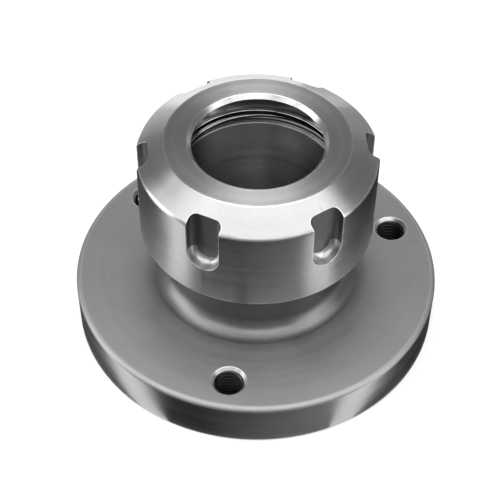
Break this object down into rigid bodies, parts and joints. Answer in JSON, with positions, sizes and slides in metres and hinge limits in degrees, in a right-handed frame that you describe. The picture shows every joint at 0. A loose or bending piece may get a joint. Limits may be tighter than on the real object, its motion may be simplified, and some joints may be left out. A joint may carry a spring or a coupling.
{
  "type": "collet chuck",
  "caption": "Flange-mounted collet chuck for a small lathe spindle: turned body with a tapered collet cavity, a slotted screw-on clamping nut and an eccentric extraction ring inside it.",
  "frame": {"origin": "centre of the flange's back face, which is also the middle of the bottom of the part's box", "axes": "+Z along the turning axis, out of the nut's mouth, where the collet comes out; +X lies 4.4 degrees clockwise of one wrench slot, seen from the nut's mouth"},
  "size_m": [0.08, 0.08, 0.0485],
  "materials": {
    "body_steel": "turned and ground steel, satin",
    "nut_steel": "hardened and ground steel, satin",
    "ring_steel": "hardened steel, fine turned"
  },
  "bodies": {
    "chuck_body": {"chuck_body": "body_steel"},
    "extraction_ring": {"extraction_ring": "ring_steel"},
    "clamping_nut": {"clamping_nut": "nut_steel"}
  },
  "joints": [
    {"name": "nut_travel", "type": "slide", "parent": "chuck_body", "child": "extraction_ring", "axis": [0, 0, 1], "range_m": [0, 0.0105]},
    {"name": "nut_turn", "type": "hinge", "parent": "extraction_ring", "child": "clamping_nut", "pos_m": [0, 0, 0.034], "axis": [0, 0, 1], "range_deg": [0, 2520]}
  ],
  "couplings": [
    {"joint": "nut_travel", "follows": "nut_turn", "m_per_rad": 0.00023873}
  ]
}
